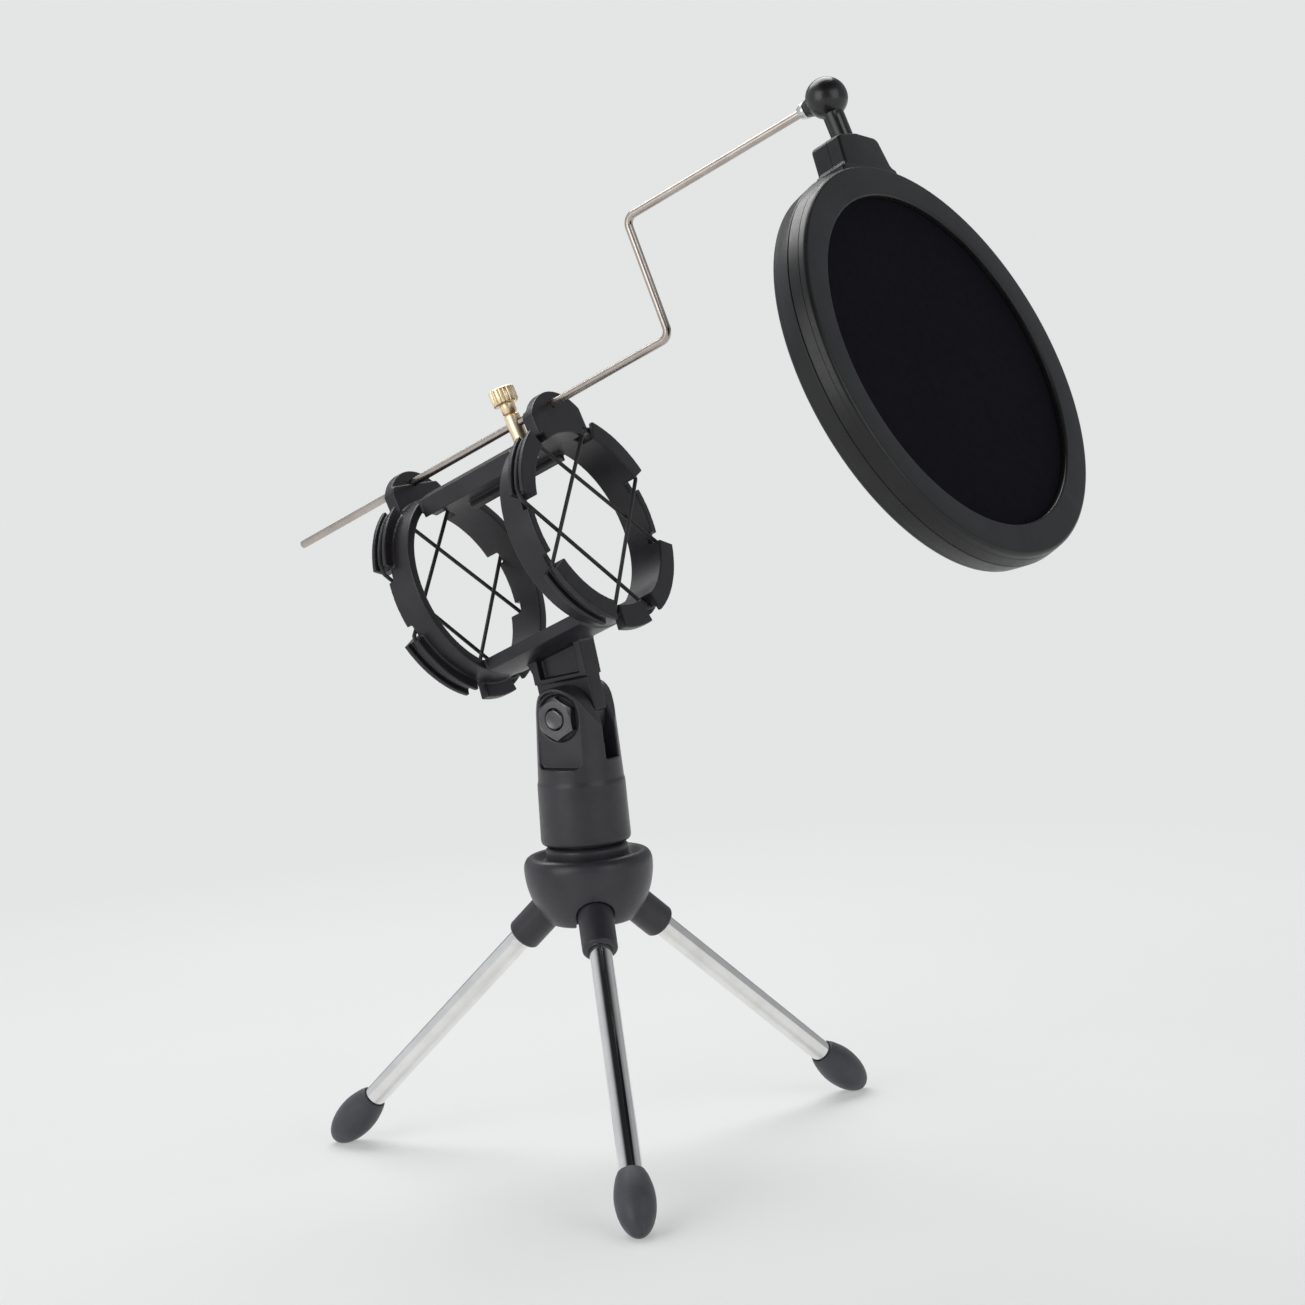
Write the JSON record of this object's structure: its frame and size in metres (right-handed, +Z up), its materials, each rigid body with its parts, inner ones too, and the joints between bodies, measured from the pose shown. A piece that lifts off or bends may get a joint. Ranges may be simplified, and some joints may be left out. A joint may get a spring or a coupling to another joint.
{
  "type": "desktop pop filter",
  "caption": "Round mesh pop filter on a sliding wire arm above a tilting elastic shock mount on a folding desk tripod.",
  "frame": {"origin": "on the desk, on the vertical axis of the tripod hub", "axes": "+Z up, +X the way the microphone and the pop filter face, +Y to the left seen from behind the microphone"},
  "size_m": [0.26, 0.1685, 0.3108],
  "materials": {
    "black_plastic": "fine satin moulded black plastic",
    "filter_plastic": "satin moulded black plastic",
    "gloss_ball": "polished black plastic",
    "foot_rubber": "matte dark grey rubber",
    "leg_chrome": "bright polished plating",
    "wire_nickel": "bright drawn steel wire",
    "fastener_steel": "zinc-plated, satin",
    "brass": "turned and knurled, pale brass",
    "elastic": "black braided elastic cord",
    "mesh_fabric": "tightly stretched black nylon mesh"
  },
  "bodies": {
    "stand": {"hub": "black_plastic", "hub_stud": "fastener_steel", "hub_screw": "fastener_steel", "hinge_pins": "fastener_steel"},
    "leg_1": {"leg_socket_1": "black_plastic", "leg_tube_1": "leg_chrome", "foot_1": "foot_rubber"},
    "leg_2": {"leg_socket_2": "black_plastic", "leg_tube_2": "leg_chrome", "foot_2": "foot_rubber"},
    "leg_3": {"leg_socket_3": "black_plastic", "leg_tube_3": "leg_chrome", "foot_3": "foot_rubber"},
    "clip": {"clip_body": "black_plastic", "thread_insert": "brass", "pivot_bolt": "fastener_steel", "pivot_nut": "fastener_steel"},
    "cradle": {"cradle_arm": "black_plastic", "lower_bar": "black_plastic", "upper_bar": "black_plastic", "front_ring": "black_plastic", "rear_ring": "black_plastic", "front_boss": "black_plastic", "rear_boss": "black_plastic", "front_band_1": "elastic", "front_band_2": "elastic", "rear_band_1": "elastic", "rear_band_2": "elastic", "clamp_post": "brass", "clamp_nut": "fastener_steel"},
    "thumb_screw": {"clamp_screw": "brass"},
    "wire": {"wire_arm": "wire_nickel", "wire_ferrule": "fastener_steel"},
    "swivel": {"swivel_ball": "gloss_ball"},
    "filter": {"swivel_clip": "fastener_steel", "frame_front": "filter_plastic", "frame_back": "filter_plastic", "mesh_hoop": "filter_plastic", "mesh_front": "mesh_fabric", "mesh_back": "mesh_fabric"}
  },
  "joints": [
    {"name": "leg_fold_1", "type": "hinge", "parent": "stand", "child": "leg_1", "pos_m": [0.00616, -0.00788, 0.07912], "axis": [0.788, 0.6157, 0], "range_deg": [0, 48]},
    {"name": "leg_fold_2", "type": "hinge", "parent": "stand", "child": "leg_2", "pos_m": [0.00375, 0.00927, 0.07912], "axis": [-0.9272, 0.3746, 0], "range_deg": [0, 48]},
    {"name": "leg_fold_3", "type": "hinge", "parent": "stand", "child": "leg_3", "pos_m": [-0.0099, -0.00139, 0.07912], "axis": [0.1392, -0.9903, 0], "range_deg": [0, 48]},
    {"name": "clip_turn", "type": "hinge", "parent": "stand", "child": "clip", "pos_m": [0, 0, 0.09532], "axis": [0, 0, 1], "continuous": true},
    {"name": "mount_tilt", "type": "hinge", "parent": "clip", "child": "cradle", "pos_m": [0, 0, 0.13372], "axis": [0, -1, 0], "range_deg": [-60, 45]},
    {"name": "thumb_turn", "type": "hinge", "parent": "cradle", "child": "thumb_screw", "pos_m": [-0.01288, 0, 0.22044], "axis": [-0.3665, 0, 0.9304], "continuous": true},
    {"name": "wire_slide", "type": "slide", "parent": "cradle", "child": "wire", "axis": [0.9304, 0, 0.3665], "range_m": [-0.04, 0.035]},
    {"name": "filter_swing", "type": "hinge", "parent": "wire", "child": "swivel", "pos_m": [0.10133, 0, 0.30487], "axis": [0.9304, 0, 0.3665], "continuous": true},
    {"name": "filter_turn", "type": "hinge", "parent": "swivel", "child": "filter", "pos_m": [0.10133, 0, 0.30487], "axis": [0.3964, -0.1131, -0.9111], "continuous": true}
  ]
}
